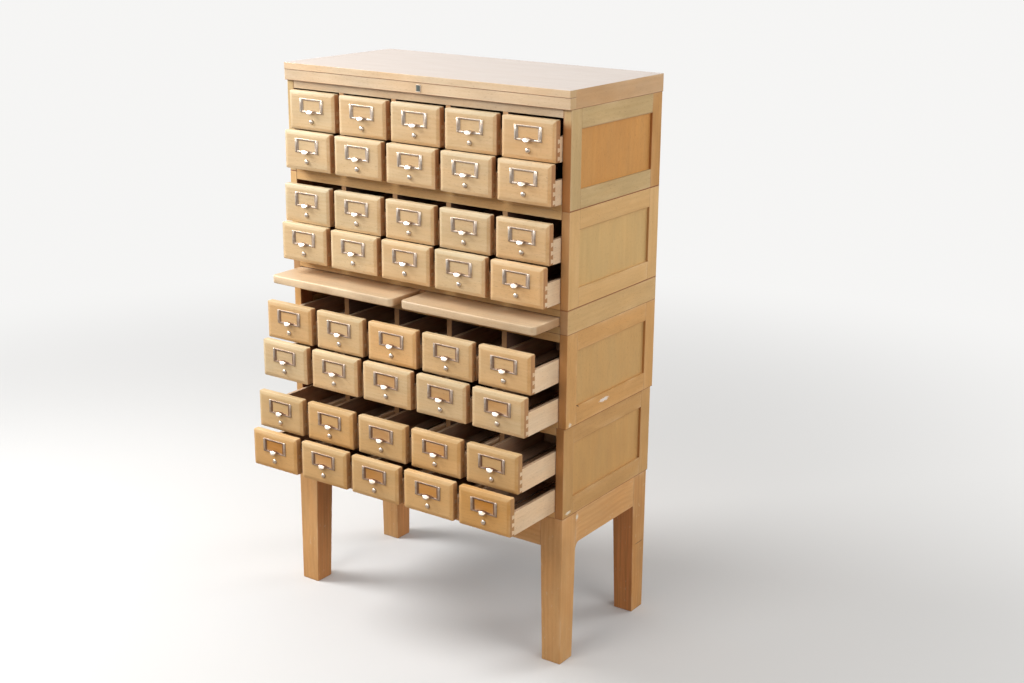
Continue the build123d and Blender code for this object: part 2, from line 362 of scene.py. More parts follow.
# Marks of use: a ragged patch round each place, its edge broken up by noise
def marked(tree, base, marks):
    here = put(tree, "TexCoord").outputs["Object"]
    ragged = spanned(tree, grained(tree, here, (260, 260, 500), 3, 0.6), 0.3, 0.7, -0.7, 0.7)
    for place, size, tint, share in marks:
        offset = vectors(tree, "SUBTRACT", here, place)
        away = vectors(tree, "LENGTH", vectors(tree, "MULTIPLY", offset, tuple(1 / s for s in size)))
        share = spanned(tree, sums(tree, "ADD", away, ragged), 0.7, 1.1, share, 0.0)
        base = mixed(tree, share, base, colour(tint))
    return base


# How often each pattern of the wood repeats in a metre, along the grain and across it both ways; how much a
# warm tone changes red, green and blue; and what all woods have in common
woodPatterns = {"streaks": (5, 150, 150), "fibres": (30, 1300, 1300), "clouds": (9, 26, 26),
                "pores": (110, 900, 900), "blotches": (6, 17, 17), "flecks": (60, 130, 130)}
warmDye = (0.06, -0.07, -0.22)
# The stain colour darkens pores and serves old varnish and painted shade alike
commonWood = {"end": (0.42, 0.22, 0.1), "stainAndShade": (0.2, 0.062, 0.02), "ringShare": 0.1, "wear": 0.5,
              "roughness": 0.5, "gloss": 0.35, "coat": 0.0, "bump": 0.25, "tint": 0.35}


# Wood finish. Streaks, growth rings and fibres run along each board; clouds, pores and the tone of each
# board break up the colour; stain is old brown varnish on inner faces together with painted shade inside the
# case, in gaps and along joints, and edges wear paler.
def woodFinish(name, own):
    look = dict(commonWood, **own)
    material, tree, shader = newMaterial(name)
    place = put(tree, "Attribute", attribute_name="partPlace").outputs["Vector"]
    light, warm, stainAndShade = carried(tree, "partTone")
    wear, end, faceColourAndLight = carried(tree, "partEdge")
    streaks = grained(tree, place, woodPatterns["streaks"], 4, 0.6, 0.3)
    fibres = grained(tree, place, woodPatterns["fibres"], 2, 0.5)
    clouds = grained(tree, place, woodPatterns["clouds"])
    waves = {"Vector": place, "Scale": look["rings"], "Distortion": 7.0, "Detail": 2.0, "Detail Scale": 0.35}
    rings = put(tree, "TexWave", waves, wave_type="RINGS", rings_direction="X").outputs["Fac"]
    pores = spanned(tree, grained(tree, place, woodPatterns["pores"], 1, 0.5), 0.63, 0.72)
    figure = times(tree, streaks, 0.55, times(tree, rings, look["ringShare"], times(tree, fibres, 0.25)))
    figure = spanned(tree, figure, 0.3, 0.75 + look["ringShare"])
    base = mixed(tree, figure, colour(look["deep"]), colour(look["pale"]))
    shade = times(tree, clouds, 0.3, times(tree, light, 0.3, 0.85))
    base = dyed(tree, base, shade, shade, shade)
    blotches = grained(tree, place, woodPatterns["blotches"], 2, 0.5)
    warm = sums(tree, "ADD", warm, spanned(tree, blotches, 0.3, 0.7, -look["tint"], look["tint"]))
    base = dyed(tree, base, *(times(tree, warm, share, 1.0) for share in warmDye))
    base = mixed(tree, times(tree, pores, 0.3), base, colour(look["stainAndShade"]))
    worn = times(tree, wear, spanned(tree, clouds, 0.45, 0.7, 0.0, look["wear"]))
    base = mixed(tree, worn, base, colour(look["worn"]))
    base = mixed(tree, times(tree, end, 0.8), base, colour(look["end"]))
    varnishAndShade = mixed(tree, spanned(tree, streaks, 0.35, 0.65), colour(look["stainAndShade"]),
                    colour(1.5 * channel for channel in look["stainAndShade"]))
    cloudy = times(tree, stainAndShade, spanned(tree, clouds, 0.3, 0.7, -0.25, 0.25))
    base = mixed(tree, sums(tree, "ADD", stainAndShade, cloudy, clamp=True), base, varnishAndShade)
    if "faceColourAndLight" in look:
        ownFaceColour = mixed(tree, streaks, colour(look["faceColourAndLight"]), colour(0.8 * channel for channel in look["faceColourAndLight"]))
        base = mixed(tree, faceColourAndLight, base, ownFaceColour)
    if "flecks" in look:
        flecks = grained(tree, place, woodPatterns["flecks"], 2, 0.6)
        base = mixed(tree, spanned(tree, flecks, 0.66, 0.74, 0.0, 0.3), base, colour(look["flecks"]))
    if "marks" in look:
        base = marked(tree, base, look["marks"])
    rough = look["roughness"]
    rough = spanned(tree, sums(tree, "ADD", fibres, clouds), 0.7, 1.3, rough - 0.07, rough + 0.09)
    height = times(tree, pores, -0.6, times(tree, streaks, 0.6, fibres))
    bump = put(tree, "Bump", {"Strength": look["bump"], "Distance": 0.0004, "Height": height})
    feed(tree, shader, {"Base Color": base, "Roughness": rough, "Normal": bump.outputs[0],
                        "Specular IOR Level": look["gloss"], "Coat Weight": look["coat"],
                        "Coat Roughness": 0.22})
    return material


# Chips, scratches and a dark spot on the right side: place, size, colour, share
chipped = (0.84, 0.76, 0.62)
caseMarks = (((0.4205, 0.068, 0.6396), (0.02, 0.019, 0.0045), (0.86, 0.81, 0.75), 0.9),
             ((0.4205, -0.0815, 0.6178), (0.02, 0.006, 0.005), (0.82, 0.71, 0.54), 0.9),
             ((0.4155, -0.075, 0.3923), (0.02, 0.011, 0.004), chipped, 0.9),
             ((0.4205, -0.0484, 0.6551), (0.02, 0.0025, 0.0025), (0.12, 0.07, 0.04), 0.9))
baseMarks = (((0.4155, -0.0345, 0.3675), (0.02, 0.005, 0.007), chipped, 0.9),
             ((0.4155, 0.2716, 0.1893), (0.02, 0.022, 0.0013), (0.15, 0.08, 0.04), 0.8))
woodLooks = {
    # Case: its face colour, a deep reddish brown, is painted shadow of the open drawers on the right stiles'
    # front edges and the rails' fronts
    "case": {"pale": (0.7, 0.445, 0.198), "deep": (0.6, 0.36, 0.145), "worn": (0.78, 0.62, 0.4),
             "rings": 34, "ringShare": 0.07, "bump": 0.2, "tint": 0.15, "faceColourAndLight": (0.46, 0.185, 0.052),
             "marks": caseMarks},
    "panel": {"pale": (0.635, 0.38, 0.145), "deep": (0.57, 0.325, 0.117), "worn": (0.7, 0.5, 0.28),
              "rings": 16, "ringShare": 0.08, "wear": 0.1, "roughness": 0.46, "gloss": 0.4, "bump": 0.15,
              "tint": 0.2},
    # Cap: its face colour is a pale pink for the top, a painted sheen of glare
    "cap": {"pale": (0.72, 0.54, 0.36), "deep": (0.64, 0.46, 0.28), "worn": (0.8, 0.66, 0.46),
            "end": (0.6, 0.41, 0.21), "rings": 26, "ringShare": 0.08, "wear": 0.4, "roughness": 0.4,
            "gloss": 0.45, "coat": 0.5, "bump": 0.12, "faceColourAndLight": (0.73, 0.6, 0.51)},
    # Front: its end grain colour is dark, with painted shade for the gaps between fronts
    "front": {"pale": (0.7, 0.495, 0.285), "deep": (0.61, 0.405, 0.205), "worn": (0.86, 0.72, 0.52),
              "end": (0.42, 0.19, 0.08), "rings": 40, "wear": 0.45, "roughness": 0.48, "bump": 0.2,
              "faceColourAndLight": (0.62, 0.545, 0.245)},
    # Tray: its stain colour is a painted shade inside the tray
    "tray": {"pale": (0.85, 0.66, 0.46), "deep": (0.75, 0.55, 0.35), "worn": (0.86, 0.74, 0.56),
             "end": (0.55, 0.34, 0.19), "stainAndShade": (0.26, 0.125, 0.07), "rings": 44, "wear": 0.3,
             "roughness": 0.62, "gloss": 0.25},
    "shelf": {"pale": (0.645, 0.485, 0.32), "deep": (0.56, 0.4, 0.24), "worn": (0.92, 0.72, 0.47),
              "end": (0.45, 0.26, 0.13), "rings": 24, "wear": 0.9, "roughness": 0.45, "gloss": 0.4,
              "bump": 0.15},
    # Inside: dark brown, a painted shade for the dark depth of the case; its face colour is the paler wood of
    # the partitions' front edges and the back's outer face
    "inside": {"pale": (0.24, 0.14, 0.095), "deep": (0.15, 0.085, 0.06), "worn": (0.3, 0.19, 0.12),
               "end": (0.12, 0.06, 0.04), "stainAndShade": (0.14, 0.075, 0.045), "rings": 34, "ringShare": 0.15,
               "wear": 0.3, "roughness": 0.6, "gloss": 0.25, "bump": 0.3, "faceColourAndLight": (0.54, 0.31, 0.15)},
    # Base: its stain colour, a reddish brown, serves old varnish and painted shade on the faces under the
    # cabinet
    "base": {"pale": (0.78, 0.49, 0.22), "deep": (0.61, 0.33, 0.132), "worn": (0.8, 0.64, 0.42),
             "stainAndShade": (0.5, 0.185, 0.06), "rings": 24, "flecks": (0.78, 0.66, 0.48), "marks": baseMarks},
}
woods = {key: woodFinish(key + "Wood", look) for key, look in woodLooks.items()}


# Nickel plate: clouds of tarnish change its colour and roughness, and a brown of grime and painted shade lies
# in its recesses, with a painted reflection of the brown wood and floor on its flat parts
nickelLook = {"bright": (0.76, 0.68, 0.59), "dull": (0.6, 0.48, 0.37), "grimeAndShade": (0.26, 0.14, 0.08),
              "roughLow": 0.27, "roughHigh": 0.44}


def nickelFinish():
    material, tree, shader = newMaterial("nickelPlate")
    place = put(tree, "TexCoord").outputs["Object"]
    grimeAndShade = carried(tree, "partTone")[0]
    tarnish = grained(tree, place, (120, 120, 120), 3, 0.6)
    scratches = grained(tree, place, (2400, 500, 500), 2, 0.5)
    bright, dull, shadedBrown = (colour(nickelLook[key]) for key in ("bright", "dull", "grimeAndShade"))
    base = mixed(tree, grimeAndShade, mixed(tree, spanned(tree, tarnish, 0.4, 0.65), bright, dull), shadedBrown)
    rough = spanned(tree, sums(tree, "ADD", tarnish, scratches), 0.8, 1.25,
                    nickelLook["roughLow"], nickelLook["roughHigh"])
    bump = put(tree, "Bump", {"Strength": 0.05, "Distance": 0.0002, "Height": scratches})
    rough = times(tree, grimeAndShade, 0.3, rough)
    feed(tree, shader, {"Base Color": base, "Roughness": rough, "Metallic": 1.0, "Normal": bump.outputs[0]})
    return material


nickel = nickelFinish()
print("materials made")

# Case boards. Each solid of these nodes becomes a rounded board with its own grain. Looks go from the top
# section down, each with its tone, the width of its dark joint line and its share of painted shadow. The
# right end's front stiles carry on their front edge a painted shadow of the open drawers, reddish brown and
# lighter at the very top of the top section, and the rear stiles of the top section are darker and warmer.
frameLooks = ({"light": -0.12, "warm": -1.15, "stainAndShadeReach": 0.0034, "faceShare": 0.95, "shadowFadeTop": 0.022,
               "spread": 0.05},
              {"light": 0.35, "warm": -0.15, "stainAndShadeReach": 0.0024, "faceShare": 0.6},
              {"light": -0.1, "warm": 0.75, "stainAndShadeReach": 0.0018, "faceShare": 0.6},
              {"light": -0.4, "warm": 0.5, "stainAndShadeReach": 0.0018, "faceShare": 0.65})
frameLook = {"spread": 0.06}
# Painted shadow of the open drawers on the front edge of the right stiles
frontStileShadow = {"faceColourAndLight": "-y", "faceReach": 0.0022}
rearStile = {"light": -0.65, "warm": 1.1}
frameShape = {"stileEdge": 0.0006, "railEdge": 0.0003, "fade": 0.02}
# Painted shade on the frames' inner faces, and a dark joint line with painted shadow along the bottom edges,
# darkest at the bottom of a section
frameShadeAndJoints = {"inner": 0.9, "lowest": 1.9, "under": 0.5}


def frameBoards():
    for section, look in enumerate(frameLooks, 1):
        node = f"section{section}_end_frames"
        stock, dice = started(node)
        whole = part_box(node)
        for low, high in solidBoxes(node):
            height = high[2] - low[2]
            upright = height > 0.9 * (whole[1].z - whole[0].z)
            atBottom = low[2] - whole[0].z < 0.001
            stainsAndShade = {"-x" if high[0] > 0 else "+x": frameShadeAndJoints["inner"],
                      "-z": frameShadeAndJoints["lowest" if atBottom else "under"]}
            own = dict(frameLook, **look)
            if upright and high[0] > 0:
                own.update(frontStileShadow)
            if upright and section == 1 and low[1] > 0:
                own.update(rearStile)
            fade, reach = look.get("shadowFadeTop", frameShape["fade"]), look["stainAndShadeReach"]
            addBoard(stock, low, high, dice, own, stainsAndShade=stainsAndShade,
                     rounding=frameShape["stileEdge" if upright else "railEdge"],
                     extra={2: (reach, 0.5 * reach, height - fade, height - 2 * fade)})
        makePiece(stock, f"section{section}_end_boards", "cabinet", [woods["case"]], [node])


panelLooks = ({"light": -0.1, "warm": 1.25, "spread": 0.1}, {"light": 0.5, "warm": -1.1, "spread": 0.2},
              {"light": 0.15, "warm": -0.4, "spread": 0.2}, {"spread": 0.2})


def endPanels():
    stock, dice = started("end_panels")
    boxes = solidBoxes("end_panels")
    heights = sorted({round(low[2], 4) for low, high in boxes}, reverse=True)
    for low, high in boxes:
        look = panelLooks[heights.index(round(low[2], 4))]
        addBoard(stock, low, high, dice, look, grain=2, rounding=0.0004)
    makePiece(stock, "end_panel_boards", "cabinet", [woods["panel"]], ["end_panels"])


# Other case boards: slot, wood, look and stains with painted shade. The cap's top takes a paler colour, a
# painted sheen of glare; its right side is painted darker and browner than its front as painted shade, its
# left side a little; and the rail under the cap is of the cap's paler wood.
capLook = {"spread": 0.15, "stainAndShadeReach": 0.0016, "faceColourAndLight": "+z",
           "faces": {"+x": (-0.55, 1.5), "-x": (-0.2, 0.4)}}
plainBoards = {
    # Rails: lighter, a painted light where the open drawers above shade them, with a touch of the reddish
    # painted shadow on their fronts and painted shade on their top, bottom and back faces
    "section_rails": ("case_wood", "case",
                      {"light": 0.8, "warm": -0.1, "spread": 0.2, "faceColourAndLight": "-y", "faceShare": 0.1},
                      {"-z": 0.7, "+z": 0.7, "+y": 1.0}),
    # Runners and back boards are of the inside wood, painted dark as painted shade; the back's outer face is
    # paler
    "drawer_runners": ("interior_wood", "inside", {}, {}),
    "back_boards": ("interior_wood", "inside", {"faceColourAndLight": "+y"}, {}),
    # Shelf housing: dark joint lines with painted shadow along its top and bottom edges
    "shelf_housing": ("case_wood", "case", {"light": 0.15, "warm": -0.4, "spread": 0.1, "stainAndShadeReach": 0.0016},
                      {"-z": 1.6, "+z": 0.8}),
    # Cap boards: a dark joint line with painted shadow along their bottom edges, a painted sheen on top and
    # painted shade on the right side
    "cap_board": ("cap_wood", "cap", dict(capLook, light=0.1, spread=0.1), {"-z": 1.5}),
    "cap_band": ("cap_wood", "cap", dict(capLook, warm=-0.1), {"-z": 1.5}),
}
topRail = {"light": -0.8, "warm": 0.1}


def plainParts():
    for node, (slotName, wood, look, stainsAndShade) in plainBoards.items():
        stock, dice = started(node)
        reach = look.get("stainAndShadeReach", boardGrid["edge"])
        for low, high in solidBoxes(node):
            underCap = node == "section_rails" and high[2] > cadBounds[1][2] - 0.05
            addBoard(stock, low, high, dice, topRail if underCap else look, stainsAndShade=stainsAndShade,
                     extra={2: (reach, 0.4 * reach)}, finish=int(underCap))
        finishes = [woods[wood], woods["cap"]] if node == "section_rails" else [woods[wood]]
        makePiece(stock, node + "_boards", "cabinet", finishes, [node])
    # Partitions are of the inside wood, painted dark as painted shade, with their front edges paler
    for section in range(1, 5):
        node = f"section{section}_partitions"
        stock, dice = started(node)
        for low, high in solidBoxes(node):
            addBoard(stock, low, high, dice, {"spread": 0.5, "faceColourAndLight": "-y"})
        makePiece(stock, node + "_boards", "cabinet", [woods["inside"]], [node])


frameBoards()
endPanels()
plainParts()
print("case boards made")

baseLook = {"warm": 0.2, "spread": 0.3}
rearLegLook = {"light": -0.6, "warm": 0.7, "spread": 0.3}
legShape = {"foot": 0.053, "top": 0.061, "aprons": 0.08, "corner": 0.0015, "sweep": 0.016}
# Old varnish and painted shade on the inner faces of legs and aprons under the cabinet and on their hidden
# tops
baseStainsAndShade = {"leg": 0.5, "legToLeg": 0.6, "apron": 0.8, "top": 0.9}


# Leg: a square carried up its height, whose two inner sides move out to the full width below the aprons
def legBase():
    node = "base_legs"
    stock, dice = started(node)
    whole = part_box(node)
    centre = (whole[0] + whole[1]) / 2
    for low, high in solidBoxes(node):
        toRight, toBack = low[0] > centre.x, low[1] > centre.y
        straight = (high[2] - low[2]) - legShape["aprons"]
        outer = (high[0] if toRight else low[0], high[1] if toBack else low[1])

        def taper(points):
            grown = np.clip((points[:, 2] - low[2]) / straight, 0, 1)
            width = legShape["foot"] + (legShape["top"] - legShape["foot"]) * grown
            for axis in (0, 1):
                points[:, axis] = outer[axis] + (points[:, axis] - outer[axis]) * width / legShape["top"]

        stainsAndShade = {"-x" if toRight else "+x": baseStainsAndShade["leg"], "+z": baseStainsAndShade["top"]}
        if toRight:
            stainsAndShade["-y" if toBack else "+y"] = baseStainsAndShade["legToLeg"]
        look = rearLegLook if toRight and toBack else baseLook
        addBoard(stock, low, high, dice, look, stainsAndShade=stainsAndShade, rounding=legShape["corner"],
                 extra={2: (straight - 0.01, straight, straight + 0.01)}, warp=taper)
    makePiece(stock, "tapered_legs", "cabinet", [woods["base"]], [node])


# Side apron: a board whose lower edge drops in a quarter arc towards the front leg
def aprons():
    node, sweep = "base_aprons", legShape["sweep"]
    stock, dice = started(node)
    for low, high in solidBoxes(node):
        if high[0] - low[0] > high[1] - low[1]:
            addBoard(stock, low, high, dice, baseLook, stainsAndShade={"-z": 0.5, "+z": baseStainsAndShade["top"], "+y": 0.3})
            continue
        straight = low[2] + sweep

        def hang(points):
            run = np.clip(1 - (points[:, 1] - low[1]) / sweep, 0, 1)
            edge = straight - sweep * (1 - np.sqrt(1 - run ** 2))
            points[:, 2] = high[2] - (high[2] - points[:, 2]) * (high[2] - edge) / (high[2] - straight)

        stainsAndShade = {"-x" if low[0] > 0 else "+x": baseStainsAndShade["apron"], "+z": baseStainsAndShade["top"]}
        addBoard(stock, (low[0], low[1], straight), high, dice, baseLook, stainsAndShade=stainsAndShade,
                 extra={1: sweep * (1 - np.cos(np.linspace(0.1, pi / 2, 8)))}, warp=hang)
    makePiece(stock, "apron_boards", "cabinet", [woods["base"]], [node])


legBase()
aprons()
print("leg base made")

# Pull-out shelves: slabs with a rounded edge all round and round front corners
shelfLook = {"light": 0.25, "spread": 0.1}
shelfShape = {"corner": 0.013, "backCorner": 0.001, "edge": 0.003, "bands": (0.06, 0.02, 0.006)}


# Section of a shelf: flat underneath, a quarter circle at both edges of its thickness, and flat on top
def shelfProfile(thickness):
    edge = shelfShape["edge"]
    under = [(inset, 0.0) for inset in shelfShape["bands"]]
    under += [(edge * (1 - sin(a)), edge * (1 - cos(a))) for a in np.linspace(0, pi / 2, 4)]
    return under + [(inset, thickness - depth) for inset, depth in under[::-1]]


def shelves():
    for side in ("left", "right"):
        node = f"pull_shelf_{side}"
        stock, dice = started(node)
        low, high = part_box(node)
        corners = [shelfShape[key] for key in ("backCorner", "backCorner", "corner", "corner")]
        addSlab(stock, low, high, shelfProfile(high.z - low.z), corners, (0, 1, 2), dice, shelfLook)
        makePiece(stock, f"shelf_board_{side}", node, [woods["shelf"]], [node])


shelves()
print("shelves made")

# Drawer front: its section is a face, a flat bevel with a soft arris on both sides, an edge and a rear. The
# bevel's top side is painted lighter and cooler, a painted highlight, and its right side darker and warmer, a
# painted shade; the rear face takes painted shade inside the drawer.
drawerShape = {"length": 0.38, "front": 0.018, "bevelWide": 0.009, "bevelDeep": 0.003, "corner": 0.003}
bevelLightAndShade = {"top": (0.15, -0.6), "right": (-0.12, 0.7)}


def frontProfile():
    wide, deep, thick = drawerShape["bevelWide"], drawerShape["bevelDeep"], drawerShape["front"]
    face = [(0.03, 0.0), (0.02, 0.0), (wide + 0.0015, 0.0), (wide + 0.0004, 0.00003), (wide - 0.0004, 0.0002)]
    bevel = [(inset, (wide - inset) * deep / wide) for inset in (wide - 0.0012, 0.5 * wide, 0.0016)]
    arris = [(0.0007, deep - 0.0001), (0.0002, deep + 0.0003), (0.0, deep + 0.001)]
    edge = [(0.0, thick - 0.0012), (0.0, thick - 0.0006)]
    return face + bevel + arris + edge + [(0.0002, thick - 0.0002), (0.0006, thick), (0.02, thick)]


def drawerFront(stock, dice, low, high, look):
    corners = [drawerShape["corner"]] * 4
    addSlab(stock, low, high, frontProfile(), corners, (0, 2, 1), dice, look, grain=0, stainsAndShade={"+y": 0.8})
    points, tone = stock["points"][-1], stock["tone"][-1]
    top, right = high[2] - points[:, 2], high[0] - points[:, 0]
    for key, reach, other in (("top", top, right), ("right", right, top)):
        onBevel = (reach < drawerShape["bevelWide"] - 0.0005) & (reach <= other)
        tone[:, :2] += onBevel[:, None] * np.array(bevelLightAndShade[key])


# Tray: a side is long and tall, a bottom is thin, and what is left is the back. Each kind has its look, its
# rounding and its stains, which paint shade inside the tray: on the sides' inner faces and top edges, on the
# bottom's top and on the back's front.
trayShape = {"thinnest": 0.0075, "sideLong": 0.3, "sideTall": 0.03, "bottomThin": 0.008, "innerShade": 0.75}
trayKinds = {"side": ({"light": 0.1, "spread": 0.5}, 0.0008, {"+z": 0.4}),
             "bottom": ({"light": -0.3, "spread": 0.4}, 0.0004, {"+z": 0.7}),
             "back": ({"spread": 0.4}, 0.0007, {"-y": 0.7})}


def trayBoards(stock, dice, boxes, low):
    for lower, upper in boxes:
        deep, tall = (upper - lower)[1:]
        isSide = deep > trayShape["sideLong"] and tall > trayShape["sideTall"]
        kind = "side" if isSide else "bottom" if tall < trayShape["bottomThin"] else "back"
        look, rounding, stainsAndShade = trayKinds[kind]
        if isSide:
            stainsAndShade = {"+x" if lower[0] - low.x < 0.01 else "-x": trayShape["innerShade"], **stainsAndShade}
        addBoard(stock, lower, upper, dice, look, rounding=rounding, stainsAndShade=stainsAndShade)


# Dovetail tails of the tray sides, seen on both edges of the front; the right-hand tails of the first four
# columns are painted dark brown as painted shade in the gaps between fronts
tailShape = {"count": 3, "wide": 0.011, "narrow": 0.007, "long": 0.0095, "proud": 0.0002, "sunk": 0.002}
tailLooks = {"pale": {"spread": 0.5}, "shadedBrown": {"light": -1.5, "warm": 1.6, "spread": 0.2}}


def tails(stock, dice, edges, floor, back, height, looks):
    wide, long = tailShape["wide"], tailShape["long"]
    pitch = height / tailShape["count"]
    for edge, side, look in zip(edges, (-1, 1), looks):
        near, far = sorted((edge - side * tailShape["sunk"], edge + side * tailShape["proud"]))
        for index in range(tailShape["count"]):
            middle = floor + pitch * (index + 0.5)

            def flare(points):
                share = np.clip((back - points[:, 1]) / long, 0, 1)
                width = tailShape["narrow"] + (wide - tailShape["narrow"]) * share
                points[:, 2] = middle + (points[:, 2] - middle) * width / wide

            lower = (near, back - long, middle - wide / 2)
            upper = (far, back, middle + wide / 2)
            addBoard(stock, lower, upper, dice, look, grain=1, rounding=0.0003, warp=flare)


# Follower: a board whose front face leans back with its height
followerShape = {"lean": 0.008, "edge": 0.0015, "thinnest": 0.015, "thickest": 0.03}


def followerBlock(stock, dice, lower, upper):
    def leaning(points):
        share = (points[:, 2] - lower[2]) / (upper[2] - lower[2])
        atFront = np.clip((upper[1] - points[:, 1]) / (upper[1] - lower[1]), 0, 1)
        points[:, 1] += followerShape["lean"] * share * atFront

    addBoard(stock, lower, upper, dice, {"light": -0.1, "warm": 0.4, "spread": 0.3}, stainsAndShade={"all": 0.35},
             rounding=followerShape["edge"], warp=leaning)


# Label holder: a plate with a window, whose section is given as (share of the way from its outer edge to the
# window, depth under its face down to its rear at 1, grime and painted shade); a half-round strip along both
# sides, held by two pins each. The ledge next to the window takes painted shadow of the strips, and the bars
# and strips a painted brown reflection.
holderShape = {"width": 0.0745, "height": 0.035, "bottom": 0.043, "plate": 0.0016, "windowWidth": 0.053,
               "windowHeight": 0.026, "strip": 0.0062, "rise": 0.001, "sunk": 0.0005, "pinIn": 0.0031,
               "pin": 0.0011, "barShadeAndReflection": 0.6, "stripReflection": 0.32, "pinGrime": 0.75}
plateSection = ((0.0, 1.0, 0.7), (0.0, 0.0006, 0.7), (0.12, 0.0001, 0.6), (0.3, 0.0, 0.45), (0.6, 0.0, 0.5),
                (0.64, 0.0002, 0.95), (0.93, 0.0003, 0.95), (1.0, 0.0009, 0.95), (1.0, 1.0, 0.95),
                (0.0, 1.0, 0.9))
barHeight = (holderShape["height"] - holderShape["windowHeight"]) / 2


# Wood in the window, darker and warmer on some fronts: a thin sheet on the front's face
def windowWood(stock, dice, middle, faceY, bottom, look):
    halfWide = holderShape["windowWidth"] / 2 + 0.001
    sill = bottom + barHeight
    low = (middle - halfWide, faceY - 0.0001, sill - 0.001)
    high = (middle + halfWide, faceY + 0.0009, sill + holderShape["windowHeight"] + 0.001)
    addBoard(stock, low, high, dice, look, grain=0, rounding=0.0002)


def holderPlate(stock, middle, faceY, bottom):
    outer = np.array([holderShape["width"], holderShape["height"]]) / 2
    window = np.array([holderShape["windowWidth"], holderShape["windowHeight"]]) / 2
    centre = np.array([middle, bottom + holderShape["height"] / 2])
    rings = []
    for share, under, grimeAndShade in plateSection:
        flat = roundedRing(outer + (window - outer) * share, 0.0012 * (1 - share) + 0.0006) + centre
        rise = max(holderShape["plate"] - under, 0.0)
        rings.append(np.stack([flat[:, 0], np.full(len(flat), faceY - rise), flat[:, 1]], axis=1))
    points = np.vstack(rings)
    ringGrimeAndShade = np.repeat([grimeAndShade for share, under, grimeAndShade in plateSection], len(rings[0]))
    atSides = np.abs(points[:, 0] - middle) > window[0] - 0.0004
    addMetal(stock, points, [gridQuads(len(rings), len(rings[0]), wrap=True)],
             np.where(atSides, ringGrimeAndShade, np.minimum(ringGrimeAndShade, holderShape["barShadeAndReflection"])))


def holderStrip(stock, middle, faceY, bottom, side):
    height, half, sunk = holderShape["height"], holderShape["strip"] / 2, holderShape["sunk"]
    centre = holderShape["width"] / 2 - half
    turn = np.linspace(0, pi, 9)
    across = middle + side * (centre + half * np.cos(turn))
    base = faceY - holderShape["plate"] + sunk
    lift = (holderShape["rise"] + sunk) * np.sin(turn) ** 0.7
    ends = ((0.0003, 0.55), (0.0008, 1.0), (height - 0.0008, 1.0), (height - 0.0003, 0.55))
    rows = [np.stack([across, base - lift * share, np.full(len(turn), bottom + level)], axis=1)
            for level, share in ends]
    addMetal(stock, np.vstack(rows), tubeFaces(len(rows), len(turn), side < 0), holderShape["stripReflection"])
    top, radius = faceY - holderShape["plate"] - holderShape["rise"], holderShape["pin"]
    dome = [(radius, top + 0.0002), (radius, top - 0.0001), (0.7 * radius, top - 0.0004), (0.0, top - 0.0005)]
    for level in (holderShape["pinIn"], height - holderShape["pinIn"]):
        addTurned(stock, (middle + side * centre, bottom + level), dome, 8, holderShape["pinGrime"])


# Finger pull: a lip that leaves the lower bar along a wide root, draws in to a level tongue and bends down to
# a rounded tip. Its slope along its length is a smooth step, summed into its reach and its drop. Across, it
# falls away on both sides of a ridge along its middle. Tarnish and painted shade lie on the level part, dark
# where its flanks turn from the light, and the bent lip keeps a quarter of them, which dims its highlight.
pullShape = {"root": 0.024, "tongue": 0.0092, "reach": 0.0122, "level": 0.42, "fall": 0.95, "thick": 0.0012,
             "above": 0.0036, "ridge": 0.0036, "tipRidge": 0.001, "rootRun": 0.35, "bendRun": 0.2,
             "ridgeRun": 0.5, "round": 2.4, "grimeAndShade": 0.95, "lipShare": 0.25}


def fingerPull(stock, middle, faceY, root):
    along = np.linspace(0, 1, 17)
    across = np.linspace(-1, 1, 13)
    level, half = pullShape["level"], holderShape["plate"] / 2
    bend = np.clip((along - level) / pullShape["bendRun"] + 0.5, 0, 1)
    slope = pullShape["fall"] * bend * bend * (3 - 2 * bend)
    middles = (slope[1:] + slope[:-1]) / 2
    out = np.concatenate([[0], np.cumsum(np.cos(middles))])
    down = np.concatenate([[0], np.cumsum(np.sin(middles))])
    scale = pullShape["reach"] / out[-1]
    out, down = out * scale, down * scale
    tip = np.clip((along - level) / (1 - level), 0, 1)
    width = pullShape["tongue"] * np.sqrt(np.maximum(1 - tip ** pullShape["round"], 0.0009))
    rooted = np.clip(1 - along / pullShape["rootRun"], 0, 1) ** 2
    width = width + (pullShape["root"] - pullShape["tongue"]) * rooted
    ridge = np.clip(1 - along / pullShape["ridgeRun"], 0, 1)
    ridge = pullShape["tipRidge"] + (pullShape["ridge"] - pullShape["tipRidge"]) * ridge
    x = middle + width[:, None] * across
    y = faceY - half - (out[:, None] - half) * np.ones(len(across))
    top = root + pullShape["above"] - down[:, None] - ridge[:, None] * np.abs(across) ** 1.3
    upper = np.stack([x, y, top], axis=2)
    under = np.stack([x, y, top - pullShape["thick"]], axis=2)
    rings = np.concatenate([upper, under[:, ::-1]], axis=1)
    count = rings.shape[1]
    grimeAndShade = pullShape["grimeAndShade"] * np.clip((level - along) / 0.06, pullShape["lipShare"], 1)
    addMetal(stock, rings.reshape(-1, 3), tubeFaces(len(along), count), np.repeat(grimeAndShade, count))


# Knob on the end of the card rod: a collar, a neck and a dome, each point as (radius, distance from the
# face);
# its collar and the steep side of its dome take painted shade and a painted dark reflection
knobShape = {"height": 0.022, "radius": 0.0063, "neck": 0.0012, "shoulder": 0.85, "length": 0.0058,
             "dome": 0.0042, "steps": 24, "grimeAndShade": (0.9,) * 5 + (0.75, 0.5, 0.2) + (0,) * 6}
knobFoot = ((0.005, 0.0), (0.005, 0.0004), (0.0036, 0.0006), (0.0036, 0.0009))
rodShape = {"radius": 0.0025, "fromBack": 0.012, "steps": 16}


